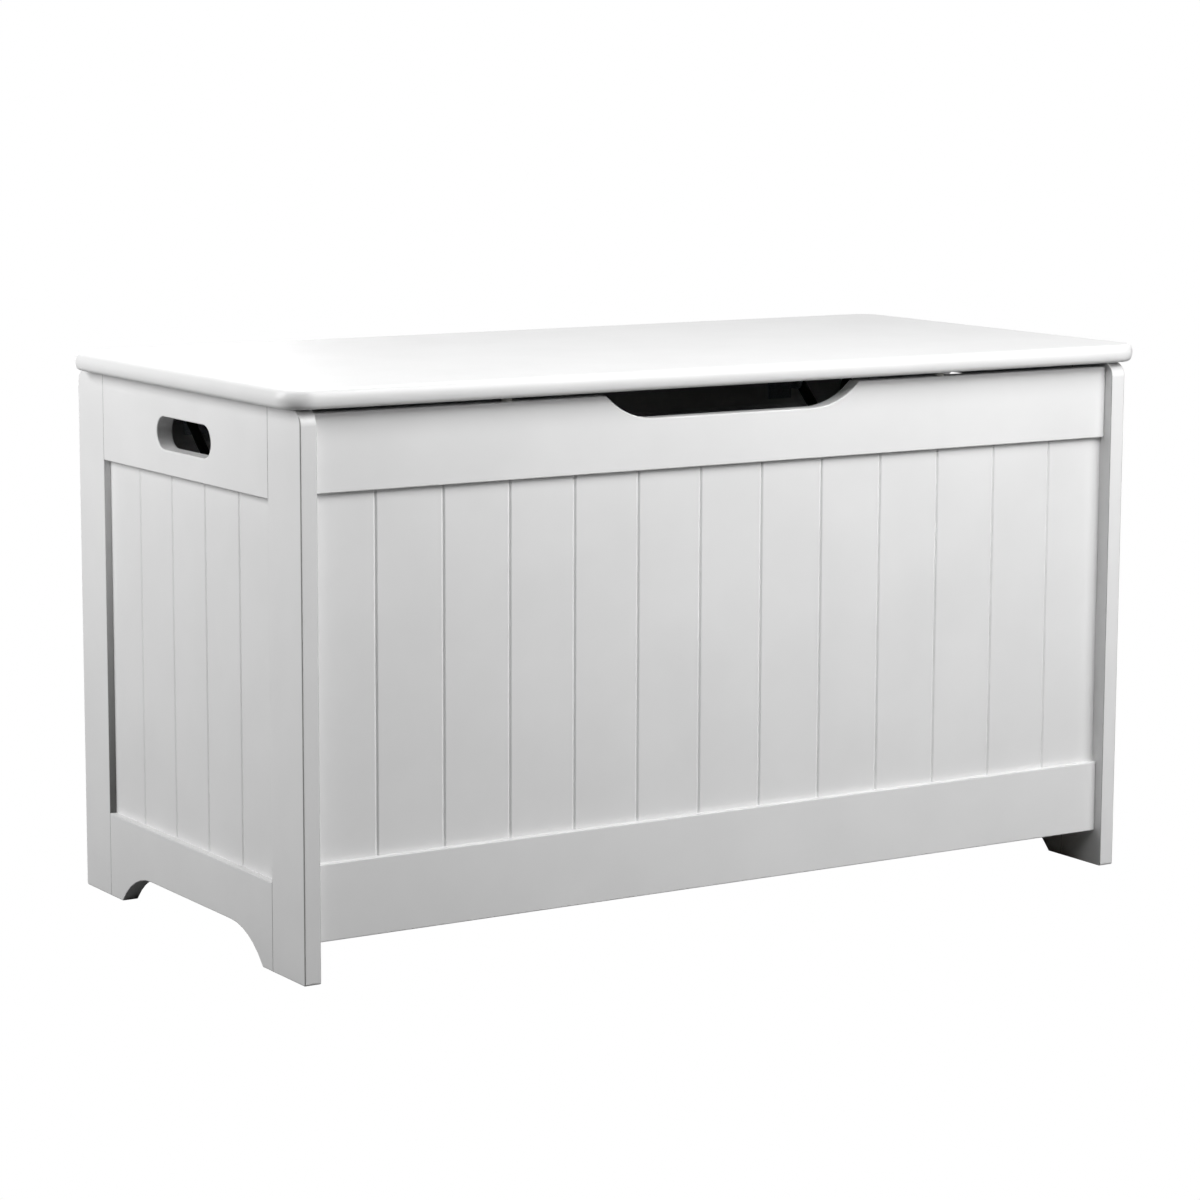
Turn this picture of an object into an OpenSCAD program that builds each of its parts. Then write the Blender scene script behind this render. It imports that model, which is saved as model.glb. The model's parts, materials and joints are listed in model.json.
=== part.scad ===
// Toy box with a beadboard front and sides, a hinged lid and two folding lid stays.
// X runs along the front, the front faces -Y, and Z is up from the floor.
// Inside the modules, y is counted back from the front edges of the two sides.

/* [Box] */
// Length over the two sides
box_w = 850; // [700:1:1000]
// Depth of a side, front edge to back edge
side_d = 425; // [380:1:500]
// Height of the two sides
side_h = 470; // [430:1:540]
// Thickness of the frame boards
board_t = 15; // [15:1:18]
// Thickness of the grooved panels
panel_t = 6; // [5:0.5:7]

/* [Sides] */
// Width of a front stile
front_stile_w = 57; // [50:1:70]
// Width of a back stile
back_stile_w = 52; // [50:1:70]
// Height of a side's top rail
side_top_h = 76.5; // [70:0.5:90]
// Height of a side's bottom rail
side_bottom_h = 75.5; // [70:0.5:90]
// How far a side's panel lies behind its frame
side_inset = 6.4; // [5:0.1:8]
// Radius of a side's front and back top corners
top_corner_r = 12; // [4:1:20]
// Length of a handle slot
slot_len = 103.5; // [90:0.5:130]
// Height of a handle slot
slot_h = 28; // [24:1:34]
// Height of the middle of a handle slot
slot_z = 429; // [425:1:435]
// Height of the arch between the feet
arch_h = 28.7; // [20:0.1:32]
// Half length of the flat top of the arch
arch_flat = 75.5; // [60:0.5:90]
// Radius of the ends of the arch
arch_r = 80; // [70:1:100]

/* [Front and back] */
// Height of the four long rails
rail_h = 65; // [60:1:75]
// Height of the bottom edge of the lower rails
rail_z = 32.5; // [25:0.5:40]
// How far the rails lie behind the edges of the sides
rail_recess = 9.5; // [9:0.5:12]
// How far the front panel lies behind the rails
panel_recess = 5.3; // [4:0.1:6]
// How far the rail tops lie below the tops of the sides
rail_drop = 3.5; // [3:0.5:6]
// Depth of the finger cut-out
cut_depth = 21; // [15:0.5:26]
// Half length of the flat bottom of the finger cut-out
cut_flat = 80; // [60:1:120]
// Radius of the ends of the finger cut-out
cut_r = 72; // [50:1:90]

/* [Beads] */
// Distance between two grooves
bead_pitch = 63.5; // [50:0.5:80]
// Width of a groove
bead_w = 3.6; // [2:0.1:5]
// Depth of a groove
bead_deep = 1.4; // [0.8:0.1:2]

/* [Lid] */
// Thickness of the lid
lid_t = 16; // [15:1:20]
// How far the lid stands out past each side
lid_side = 15; // [5:1:20]
// How far the lid stands out in front
lid_front = 8; // [4:1:12]
// How far the lid stops short of the back edges
lid_back = 8; // [7:0.5:10]
// Gap between the sides and the closed lid
lid_gap = 1.2; // [0.8:0.1:2]
// Radius of the lid's corners
lid_corner_r = 25; // [15:1:40]
// Radius of the lid's top edge
lid_top_r = 5; // [3:0.5:7]
// Radius of the lid's bottom edge
lid_bottom_r = 5; // [3:0.5:7]

/* [Fittings] */
// Distance of each hinge from the middle
hinge_x = 280; // [200:5:300]
// Distance of each lid stay from the middle
stay_x = 332; // [320:1:360]
// Length of a stay's lower arm between pivots
lower_arm_len = 75; // [75:0.5:76]
// Length of a stay's upper arm between pivots
upper_arm_len = 92; // [92:0.5:93]

/* [Hidden] */

$fn = 64;
// Overlap that lets a cut break through a face
eps = 1;
// Overlap of solids that are joined into one
join = 0.01;
// Clearance round dowels, screws and panel edges
fit = 0.05;

// The y of the front edges of the sides, which centres the whole box on the origin
front_y = (lid_front - side_d) / 2;
inner_x = box_w / 2 - board_t;

// Sides: the panel between the stiles and rails, which the side's last groove stands off by side_bead_shift
panel_x = box_w / 2 - side_inset - panel_t;
side_rail_len = side_d - front_stile_w - back_stile_w;
side_bead_count = 4;
side_bead_shift = 2.5;
// How far a panel reaches into a frame board's edge, and into a side's face
tongue = 8;
housing = 5;

// Front and back rails, with the panel between each pair
rail_top = side_h - rail_drop;
top_rail_z = rail_top - rail_h;
front_panel_y = rail_recess + panel_recess;
back_rail_y = side_d - rail_recess - board_t;
back_panel_y = back_rail_y + (board_t - panel_t) / 2;
front_bead_count = 12;
panel_low_z = rail_z + rail_h - tongue;
panel_high_z = top_rail_z + tongue;

// Lid
lid_z = side_h + lid_gap;
lid_y = -lid_front;
lid_d = side_d + lid_front - lid_back;
lid_w = box_w + 2 * lid_side;
bumper_x = 224;
bumper_r = 4.5;
bumper_play = 0.2;

// Floor panel, which lies on four cleats
floor_t = 12;
floor_z = 50;
cleat_w = 18;
cleat_h = 16;
cleat_end = 20;
cleat_z = floor_z - cleat_h;
front_inner_y = rail_recess + board_t;
floor_gap = 0.2;

// Fixings: dowels and cam locks on the rail ends
dowel_r = 4;
dowel_in_side = 10;
dowel_in_rail = 22;
dowel_up = 20;
cam_up = 45;
cam_r = 6;
cam_deep = 10.5;
cam_from_end = 24;
bolt_thread_r = 2.5;
bolt_shank_r = 3;
bolt_head_len = 3;
frame_dowel_r = 3;
frame_dowel_len = 30;
frame_dowel_zs = [22, 56, 410, 455];

// Screws: shank diameter, length and head diameter
cleat_screw = [3.5, 28, 7];
hinge_screw = [2.8, 13, 5.2];
stay_screw = [3, 12, 6];
// Where they stand, from the middle of the front, of a hinge or of a stay's plate
cleat_long_xs = [-300, -100, 100, 300];
cleat_short_ys = [110, 320];
hinge_screw_xs = [-20, 0, 20];
stay_box_screw_zs = [-10, 10];
stay_lid_screw_ys = [-9, 9];

// Butt hinges: the pin lies behind the lid's back edge, level with the gap over the rail
leaf_t = 1.2;
leaf_len = 60;
knuckle_r = (rail_drop + lid_gap) / 2;
knuckle_count = 5;
knuckle_gap = 0.3;
hinge_pin_r = 1.1;
pin_len = 61.6;
pin_gap = 0.65;
hinge_y = side_d - lid_back + knuckle_r + pin_gap;
hinge_z = rail_top + knuckle_r;
plate_gap = 0.45;
box_leaf_y = back_rail_y + 1.5;
lid_leaf_y = back_rail_y - 12.5;
lid_leaf_screw_in = 8;

// Lid stays: pivots as [y, z], the plates, and the layers across each stay
box_pivot = [back_rail_y - 13, 426];
lid_pivot = [hinge_y - 120, lid_z - 10];
box_plate_w = 26;
box_plate_h = 36;
box_plate_screw_in = 16;
lid_plate_w = 24;
lid_plate_len = 34;
lid_plate_screw_in = 14;
stay_plate_t = 1.5;
arm_t = 2;
arm_w = 12;
layer_gap = 0.3;
lower_arm_x = stay_plate_t + layer_gap;
upper_arm_x = lower_arm_x + arm_t + layer_gap;
lid_ear_x = upper_arm_x + arm_t + layer_gap;
ear_r = 8;
rivet_r = 2.5;
rivet_head_r = 4.5;
rivet_head_t = 1;
rivet_play = 0.1;

// Distance between two points
function span(a, b) = norm(b - a);
// Direction from a to b, in degrees
function aim(a, b) = atan2(b[1] - a[1], b[0] - a[0]);
// Elbow of two arms that meet in front of and below the line from a to b
function elbow(a, b, la, lb) =
    let (d = span(a, b), turn = acos((la * la + d * d - lb * lb) / (2 * la * d)), at = aim(a, b) + turn)
    [a[0] + la * cos(at), a[1] + la * sin(at)];

stay_elbow = elbow(box_pivot, lid_pivot, lower_arm_len, upper_arm_len);

// ---- Helpers ----

// Moves a piece from the box's own y to the part's frame
module in_box() {
    translate([0, front_y, 0]) children();
}

// Mirrors a piece of the right end to the left end
module left_end() {
    mirror([1, 0, 0]) children();
}

module both_ends() {
    children();
    left_end() children();
}

// A block from its low corner to its high corner
module block(low, high) {
    translate(low) cube(high - low);
}

// An outline in y and z, made a plate that starts at x and is t thick
module plate_x(x, t) {
    translate([x, 0, 0]) rotate([90, 0, 90]) linear_extrude(t) children();
}

// An outline in x and z, made a plate that starts at y and is t thick
module plate_y(y, t) {
    translate([0, y + t, 0]) rotate([90, 0, 0]) linear_extrude(t) children();
}

// A cylinder along x from the point at
module rod_x(at, len, r) {
    translate(at) rotate([0, 90, 0]) cylinder(h = len, r = r);
}

// A cylinder towards +y from the point at
module rod_y(at, len, r) {
    translate(at) rotate([-90, 0, 0]) cylinder(h = len, r = r);
}

// A countersunk screw whose head is flush at the origin and whose shank points down
module screw(size, extra = 0) {
    head_h = (size[2] - size[0]) / 2;
    translate([0, 0, -size[1]]) cylinder(h = size[1], r = size[0] / 2 + extra);
    translate([0, 0, -head_h]) cylinder(h = head_h, r1 = size[0] / 2 + extra, r2 = size[2] / 2 + extra);
}

// The V of one groove, cut into a face that looks along +y, centred on x = 0
module bead_cut(len) {
    linear_extrude(len)
        polygon([[-bead_w / 2, 0.1], [-bead_w / 2, 0], [0, -bead_deep], [bead_w / 2, 0], [bead_w / 2, 0.1]]);
}

// ---- Where the fixings are ----

// The rail ends at the right side: y of the rail's middle, in front and behind, and z of its bottom edge
rail_mid_ys = [rail_recess + board_t / 2, back_rail_y + board_t / 2];
rail_zs = [rail_z, top_rail_z];

module at_rail_ends() {
    for (y = rail_mid_ys, z = rail_zs) translate([inner_x, y, z]) children();
}

module rail_end_dowel(extra = 0) {
    rod_x([-dowel_in_rail, 0, dowel_up], dowel_in_rail + dowel_in_side, dowel_r + extra);
}

module cam_bolt(extra = 0) {
    rod_x([0, 0, cam_up], dowel_in_side, bolt_thread_r + extra);
    reach = cam_from_end - cam_r + bolt_head_len;
    rod_x([-reach, 0, cam_up], reach, bolt_shank_r + extra);
}

// The cam's pocket opens towards the inside of the box: s is 1 in the front rails and -1 in the back rails
module cam_body(s, extra = 0) {
    start = board_t / 2 - cam_deep;
    translate([-cam_from_end, s * start, cam_up])
        rotate([-90 * s, 0, 0]) cylinder(h = cam_deep + extra, r = cam_r + extra);
}

module side_dowel_set(extra = 0) {
    for (joint = [front_stile_w, side_d - back_stile_w], z = frame_dowel_zs)
        rod_y([inner_x + board_t / 2, joint - frame_dowel_len / 2, z], frame_dowel_len, frame_dowel_r + extra);
}

module cleat_screw_set(extra = 0) {
    mid = cleat_z + cleat_h / 2;
    for (x = cleat_long_xs) {
        translate([x, front_inner_y + cleat_w, mid]) rotate([-90, 0, 0]) screw(cleat_screw, extra);
        translate([x, back_rail_y - cleat_w, mid]) rotate([90, 0, 0]) screw(cleat_screw, extra);
    }
    both_ends()
        for (y = cleat_short_ys)
            translate([inner_x - cleat_w, y, mid]) rotate([0, -90, 0]) screw(cleat_screw, extra);
}

module hinge_box_screw_set(extra = 0) {
    for (end = [-1, 1], x = hinge_screw_xs)
        translate([end * hinge_x + x, back_rail_y + board_t / 2, rail_top + leaf_t]) screw(hinge_screw, extra);
}

module hinge_lid_screw_set(extra = 0) {
    for (end = [-1, 1], x = hinge_screw_xs)
        translate([end * hinge_x + x, lid_leaf_y + lid_leaf_screw_in, lid_z - leaf_t])
            rotate([180, 0, 0]) screw(hinge_screw, extra);
}

module stay_box_screw_set(extra = 0) {
    both_ends()
        for (z = stay_box_screw_zs)
            translate([stay_x - box_plate_screw_in, back_rail_y - stay_plate_t, box_pivot[1] + z])
                rotate([90, 0, 0]) screw(stay_screw, extra);
}

module stay_lid_screw_set(extra = 0) {
    both_ends()
        for (y = stay_lid_screw_ys)
            translate([stay_x + lid_ear_x + lid_plate_screw_in, lid_pivot[0] + y, lid_z - stay_plate_t])
                rotate([180, 0, 0]) screw(stay_screw, extra);
}

// ---- Lid ----

// Half section of the lid's edge: x runs in from the outer edge, y up from the underside
module lid_edge_profile(reach) {
    translate([lid_bottom_r, lid_bottom_r]) circle(lid_bottom_r);
    translate([lid_top_r, lid_t - lid_top_r]) circle(lid_top_r);
    translate([0, lid_bottom_r]) square([reach, lid_t - lid_bottom_r - lid_top_r]);
    translate([lid_bottom_r, 0]) square([reach - lid_bottom_r, lid_bottom_r + join]);
    translate([lid_top_r, lid_t - lid_top_r - join]) square([reach - lid_top_r, lid_top_r + join]);
}

module lid_corner() {
    rotate_extrude(angle = 90) mirror([1, 0]) translate([-lid_corner_r, 0]) lid_edge_profile(lid_corner_r);
}

module lid_board() {
    half_w = lid_w / 2 - lid_corner_r;
    inner_d = lid_d - 2 * lid_corner_r;
    color("white") in_box()
        difference() {
            translate([0, lid_y + lid_corner_r, lid_z]) {
                block([-half_w, 0, 0], [half_w, inner_d, lid_t]);
                // Long edges, front and back
                for (back = [0, 1])
                    translate([0, back * inner_d, 0]) mirror([0, back, 0])
                        translate([-half_w, -lid_corner_r, 0])
                            rotate([90, 0, 90]) linear_extrude(2 * half_w) lid_edge_profile(lid_corner_r);
                // Short edges and corners, right and left
                both_ends() translate([half_w, 0, 0]) {
                    translate([lid_corner_r, inner_d, 0]) rotate([90, 0, 0])
                        mirror([1, 0, 0]) linear_extrude(inner_d) lid_edge_profile(lid_corner_r);
                    translate([0, inner_d, 0]) lid_corner();
                    rotate([0, 0, -90]) lid_corner();
                }
            }
            hinge_lid_screw_set(fit);
            stay_lid_screw_set(fit);
        }
}

// ---- Front and back ----

module long_rail(y, z, inside) {
    difference() {
        block([-inner_x, y, z], [inner_x, y + board_t, z + rail_h]);
        both_ends()
            translate([inner_x, y + board_t / 2, z]) {
                rail_end_dowel(fit);
                cam_bolt(fit);
                cam_body(inside, fit);
            }
    }
}

// The housing for a panel's tongue, cut through a rail's edge between two heights
module rail_housing(y, low_z, high_z) {
    block([-inner_x - eps, y - fit, low_z], [inner_x + eps, y + panel_t + fit, high_z]);
}

module top_rail_housing(y) {
    rail_housing(y, top_rail_z - eps, panel_high_z + fit);
}

module bottom_rail_housing(y) {
    rail_housing(y, panel_low_z - fit, rail_z + rail_h + eps);
}

module finger_cut() {
    cut_z = rail_top - cut_depth;
    plate_y(rail_recess - eps, board_t + 2 * eps) {
        translate([-cut_flat, cut_z]) square([2 * cut_flat, cut_depth + eps]);
        for (end = [-1, 1]) translate([end * cut_flat, cut_z + cut_r]) circle(cut_r, $fn = 180);
    }
}

module front_top_rail() {
    color("white") in_box()
        difference() {
            long_rail(rail_recess, top_rail_z, 1);
            top_rail_housing(front_panel_y);
            finger_cut();
        }
}

module front_bottom_rail() {
    color("white") in_box()
        difference() {
            long_rail(rail_recess, rail_z, 1);
            bottom_rail_housing(front_panel_y);
            cleat_screw_set(fit);
        }
}

// A panel between two rails, its face at y
module long_panel(y) {
    reach = inner_x + housing - fit;
    block([-reach, y, panel_low_z], [reach, y + panel_t, panel_high_z]);
}

module front_beadboard() {
    color("whitesmoke") in_box()
        difference() {
            long_panel(front_panel_y);
            for (i = [0 : front_bead_count - 1])
                translate([(i - (front_bead_count - 1) / 2) * bead_pitch, front_panel_y, panel_low_z - eps])
                    rotate([0, 0, 180]) bead_cut(panel_high_z - panel_low_z + 2 * eps);
        }
}

module back_top_rail() {
    color("white") in_box()
        difference() {
            long_rail(back_rail_y, top_rail_z, -1);
            top_rail_housing(back_panel_y);
            hinge_box_screw_set(fit);
            stay_box_screw_set(fit);
        }
}

module back_bottom_rail() {
    color("white") in_box()
        difference() {
            long_rail(back_rail_y, rail_z, -1);
            bottom_rail_housing(back_panel_y);
            cleat_screw_set(fit);
        }
}

module back_panel() {
    color("whitesmoke") in_box() long_panel(back_panel_y);
}

// ---- Floor ----

module floor_panel() {
    reach = inner_x - floor_gap;
    color("white") in_box()
        block([-reach, front_inner_y + floor_gap, floor_z],
              [reach, back_rail_y - floor_gap, floor_z + floor_t]);
}

module long_cleat(y) {
    reach = inner_x - cleat_end;
    color("burlywood") in_box()
        difference() {
            block([-reach, y, cleat_z], [reach, y + cleat_w, floor_z]);
            cleat_screw_set(fit);
        }
}

module short_cleat() {
    color("burlywood") in_box()
        difference() {
            block([inner_x - cleat_w, front_inner_y + cleat_end, cleat_z],
                  [inner_x, back_rail_y - cleat_end, floor_z]);
            cleat_screw_set(fit);
        }
}

module front_floor_cleat() { long_cleat(front_inner_y); }
module back_floor_cleat() { long_cleat(back_rail_y - cleat_w); }
module right_floor_cleat() { short_cleat(); }
module left_floor_cleat() { left_end() short_cleat(); }

// ---- Sides ----

// A stile's outline in y and z, with its outer top corner rounded
module stile_outline(w) {
    difference() {
        square([w, side_h]);
        translate([0, side_h - top_corner_r])
            difference() {
                translate([-eps, 0]) square([top_corner_r + eps, top_corner_r + eps]);
                translate([top_corner_r, 0]) circle(top_corner_r);
            }
    }
}

// What is cut out of a side's boards for the panels, the dowels and the rail ends
module side_cuts() {
    low_z = side_bottom_h - tongue - fit;
    high_z = side_h - side_top_h + tongue + fit;
    block([panel_x - fit, front_stile_w - tongue - fit, low_z],
          [panel_x + panel_t + fit, side_d - back_stile_w + tongue + fit, high_z]);
    for (y = [front_panel_y, back_panel_y])
        block([inner_x - eps, y - fit, panel_low_z - fit],
              [inner_x + housing, y + panel_t + fit, panel_high_z + fit]);
    side_dowel_set(fit);
    at_rail_ends() {
        rail_end_dowel(fit);
        cam_bolt(fit);
    }
    cleat_screw_set(fit);
}

module front_stile() {
    color("white") in_box()
        difference() {
            plate_x(inner_x, board_t) stile_outline(front_stile_w);
            side_cuts();
        }
}

module back_stile() {
    color("white") in_box()
        difference() {
            plate_x(inner_x, board_t) translate([side_d, 0]) mirror([1, 0]) stile_outline(back_stile_w);
            side_cuts();
        }
}

module side_top_rail() {
    half = slot_len / 2 - slot_h / 2;
    color("white") in_box()
        difference() {
            block([inner_x, front_stile_w, side_h - side_top_h],
                  [inner_x + board_t, front_stile_w + side_rail_len, side_h]);
            plate_x(inner_x - eps, board_t + 2 * eps)
                translate([side_d / 2, slot_z]) {
                    translate([-half, -slot_h / 2]) square([2 * half, slot_h]);
                    for (end = [-1, 1]) translate([end * half, 0]) circle(slot_h / 2);
                }
            side_cuts();
        }
}

module side_bottom_rail() {
    color("white") in_box()
        difference() {
            block([inner_x, front_stile_w, 0],
                  [inner_x + board_t, front_stile_w + side_rail_len, side_bottom_h]);
            plate_x(inner_x - eps, board_t + 2 * eps)
                translate([side_d / 2, 0]) {
                    translate([-arch_flat, -eps]) square([2 * arch_flat, arch_h + eps]);
                    for (end = [-1, 1]) translate([end * arch_flat, arch_h - arch_r]) circle(arch_r, $fn = 180);
                }
            side_cuts();
        }
}

module side_beadboard() {
    low = [panel_x, front_stile_w - tongue, side_bottom_h - tongue];
    high = [panel_x + panel_t, side_d - back_stile_w + tongue, side_h - side_top_h + tongue];
    bead_y = front_stile_w + side_rail_len / 2 + side_bead_shift;
    color("whitesmoke") in_box()
        difference() {
            block(low, high);
            for (i = [0 : side_bead_count - 1])
                translate([high[0], bead_y + (i - (side_bead_count - 1) / 2) * bead_pitch, low[2] - eps])
                    rotate([0, 0, -90]) bead_cut(high[2] - low[2] + 2 * eps);
        }
}

module right_front_stile() { front_stile(); }
module right_back_stile() { back_stile(); }
module right_top_rail() { side_top_rail(); }
module right_bottom_rail() { side_bottom_rail(); }
module right_beadboard() { side_beadboard(); }
module left_front_stile() { left_end() front_stile(); }
module left_back_stile() { left_end() back_stile(); }
module left_top_rail() { left_end() side_top_rail(); }
module left_bottom_rail() { left_end() side_bottom_rail(); }
module left_beadboard() { left_end() side_beadboard(); }

// ---- Hinges ----

// The knuckles that belong to one leaf: every second one, from the first or the second
module knuckles(first) {
    pitch = leaf_len / knuckle_count;
    for (i = [first : 2 : knuckle_count - 1])
        translate([-leaf_len / 2 + i * pitch + knuckle_gap / 2, 0, 0]) children();
}

// A leaf: its plate from start_y to just short of the knuckles, and the knuckles it carries
module leaf(first, start_y, low_z) {
    len = leaf_len / knuckle_count - knuckle_gap;
    plate_end = hinge_y - knuckle_r - plate_gap;
    difference() {
        union() {
            block([-leaf_len / 2, start_y, low_z], [leaf_len / 2, plate_end, low_z + leaf_t]);
            knuckles(first) {
                translate([0, plate_end - join, low_z]) cube([len, hinge_y - plate_end + join, leaf_t]);
                rod_x([0, hinge_y, hinge_z], len, knuckle_r);
            }
        }
        rod_x([-leaf_len, hinge_y, hinge_z], 2 * leaf_len, hinge_pin_r + fit);
    }
}

module box_leaf() {
    color("silver") in_box()
        difference() {
            translate([hinge_x, 0, 0]) leaf(0, box_leaf_y, rail_top);
            hinge_box_screw_set(fit);
        }
}

module lid_leaf() {
    color("silver") in_box()
        difference() {
            translate([hinge_x, 0, 0]) leaf(1, lid_leaf_y, lid_z - leaf_t);
            hinge_lid_screw_set(fit);
        }
}

module hinge_pin() {
    color("silver") in_box()
        rod_x([hinge_x - pin_len / 2, hinge_y, hinge_z], pin_len, hinge_pin_r);
}

module right_hinge_box_leaf() { box_leaf(); }
module right_hinge_lid_leaf() { lid_leaf(); }
module right_hinge_pin() { hinge_pin(); }
module left_hinge_box_leaf() { left_end() box_leaf(); }
module left_hinge_lid_leaf() { left_end() lid_leaf(); }
module left_hinge_pin() { left_end() hinge_pin(); }

// ---- Lid stays ----

// A strip with round ends between two pivots, with a hole at each
module arm(x, a, b, hole_a, hole_b) {
    plate_x(x, arm_t)
        translate(a) rotate(aim(a, b))
            difference() {
                union() {
                    circle(arm_w / 2);
                    translate([0, -arm_w / 2]) square([span(a, b), arm_w]);
                    translate([span(a, b), 0]) circle(arm_w / 2);
                }
                circle(hole_a);
                translate([span(a, b), 0]) circle(hole_b);
            }
}

module rivet(at, x_from, x_to) {
    rod_x([x_from, at[0], at[1]], x_to - x_from, rivet_r);
}

module rivet_head(at, x) {
    rod_x([x, at[0], at[1]], rivet_head_t, rivet_head_r);
}

module stay_box_bracket() {
    color("silver") in_box()
        difference() {
            union() {
                block([stay_x - box_plate_w, back_rail_y - stay_plate_t, box_pivot[1] - box_plate_h / 2],
                      [stay_x + stay_plate_t, back_rail_y, box_pivot[1] + box_plate_h / 2]);
                plate_x(stay_x, stay_plate_t) {
                    translate(box_pivot) circle(ear_r);
                    translate(box_pivot - [0, ear_r]) square([back_rail_y - box_pivot[0], 2 * ear_r]);
                }
            }
            rivet(box_pivot, stay_x - eps, stay_x + stay_plate_t + eps);
            stay_box_screw_set(fit);
        }
}

module stay_lid_bracket() {
    ear_x = stay_x + lid_ear_x;
    color("silver") in_box()
        difference() {
            union() {
                block([ear_x, lid_pivot[0] - lid_plate_len / 2, lid_z - stay_plate_t],
                      [ear_x + lid_plate_w, lid_pivot[0] + lid_plate_len / 2, lid_z]);
                plate_x(ear_x, stay_plate_t) {
                    translate(lid_pivot) circle(ear_r);
                    translate(lid_pivot - [ear_r, 0]) square([2 * ear_r, lid_z - lid_pivot[1]]);
                }
            }
            rivet(lid_pivot, ear_x - eps, ear_x + stay_plate_t + eps);
            stay_lid_screw_set(fit);
        }
}

module stay_lower_arm() {
    color("black") in_box() arm(stay_x + lower_arm_x, box_pivot, stay_elbow, rivet_r + fit, rivet_r);
}

// The upper arm carries its own half of the open elbow, a pressed boss on its outer face
module stay_upper_arm() {
    color("black") in_box() {
        arm(stay_x + upper_arm_x, lid_pivot, stay_elbow, rivet_r + fit, rivet_r / 2);
        rivet_head(stay_elbow, stay_x + upper_arm_x + arm_t);
    }
}

module stay_box_rivet() {
    far = stay_x + lower_arm_x + arm_t + rivet_play;
    color("gray") in_box() {
        rivet(box_pivot, stay_x, far);
        rivet_head(box_pivot, stay_x - rivet_head_t);
        rivet_head(box_pivot, far);
    }
}

module stay_elbow_rivet() {
    near = stay_x + lower_arm_x;
    color("gray") in_box() {
        rivet(stay_elbow, near, near + arm_t);
        rivet_head(stay_elbow, near - rivet_head_t);
    }
}

module stay_lid_rivet() {
    near = stay_x + upper_arm_x - rivet_play;
    color("gray") in_box() {
        rivet(lid_pivot, near, stay_x + lid_ear_x + stay_plate_t);
        rivet_head(lid_pivot, near - rivet_head_t);
        rivet_head(lid_pivot, stay_x + lid_ear_x + stay_plate_t);
    }
}

module right_stay_box_bracket() { stay_box_bracket(); }
module right_stay_lower_arm() { stay_lower_arm(); }
module right_stay_upper_arm() { stay_upper_arm(); }
module right_stay_lid_bracket() { stay_lid_bracket(); }
module right_stay_box_rivet() { stay_box_rivet(); }
module right_stay_elbow_rivet() { stay_elbow_rivet(); }
module right_stay_lid_rivet() { stay_lid_rivet(); }
module left_stay_box_bracket() { left_end() stay_box_bracket(); }
module left_stay_lower_arm() { left_end() stay_lower_arm(); }
module left_stay_upper_arm() { left_end() stay_upper_arm(); }
module left_stay_lid_bracket() { left_end() stay_lid_bracket(); }
module left_stay_box_rivet() { left_end() stay_box_rivet(); }
module left_stay_elbow_rivet() { left_end() stay_elbow_rivet(); }
module left_stay_lid_rivet() { left_end() stay_lid_rivet(); }

// ---- Small parts ----

module lid_bumpers() {
    color("gainsboro") in_box()
        for (x = [-bumper_x, bumper_x])
            translate([x, rail_recess + board_t / 2, rail_top])
                cylinder(h = rail_drop + lid_gap - bumper_play, r = bumper_r);
}

module side_frame_dowels() {
    color("burlywood") in_box() both_ends() side_dowel_set();
}

module rail_dowels() {
    color("burlywood") in_box() both_ends() at_rail_ends() rail_end_dowel();
}

module cam_bolts() {
    color("silver") in_box() both_ends() at_rail_ends() cam_bolt();
}

module cam_locks() {
    color("silver") in_box() both_ends()
        for (i = [0, 1], z = rail_zs)
            translate([inner_x, rail_mid_ys[i], z])
                difference() {
                    cam_body(1 - 2 * i);
                    cam_bolt(fit);
                }
}

module cleat_screws() { color("silver") in_box() cleat_screw_set(); }
module hinge_box_screws() { color("silver") in_box() hinge_box_screw_set(); }
module hinge_lid_screws() { color("silver") in_box() hinge_lid_screw_set(); }
module stay_box_screws() { color("silver") in_box() stay_box_screw_set(); }
module stay_lid_screws() { color("silver") in_box() stay_lid_screw_set(); }

lid_board();
front_top_rail();
front_bottom_rail();
front_beadboard();
back_top_rail();
back_bottom_rail();
back_panel();
floor_panel();
front_floor_cleat();
back_floor_cleat();
left_floor_cleat();
right_floor_cleat();
left_front_stile();
left_back_stile();
left_top_rail();
left_bottom_rail();
left_beadboard();
right_front_stile();
right_back_stile();
right_top_rail();
right_bottom_rail();
right_beadboard();
left_hinge_box_leaf();
left_hinge_lid_leaf();
left_hinge_pin();
right_hinge_box_leaf();
right_hinge_lid_leaf();
right_hinge_pin();
left_stay_box_bracket();
left_stay_lower_arm();
left_stay_upper_arm();
left_stay_lid_bracket();
left_stay_box_rivet();
left_stay_elbow_rivet();
left_stay_lid_rivet();
right_stay_box_bracket();
right_stay_lower_arm();
right_stay_upper_arm();
right_stay_lid_bracket();
right_stay_box_rivet();
right_stay_elbow_rivet();
right_stay_lid_rivet();
lid_bumpers();
side_frame_dowels();
rail_dowels();
cam_bolts();
cam_locks();
cleat_screws();
hinge_box_screws();
hinge_lid_screws();
stay_box_screws();
stay_lid_screws();
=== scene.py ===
"""White lacquered toy box: grooved panels, a bullnosed lid on two butt hinges, and two folding lid stays.

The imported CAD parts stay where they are. The painted boards are remade here with eased edges and soft
grooves, in metres and in the same frame, so each takes its place from the box of its own CAD node.
"""

import json
import math

import bpy
import numpy as np
from mathutils import Matrix, Vector


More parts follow.
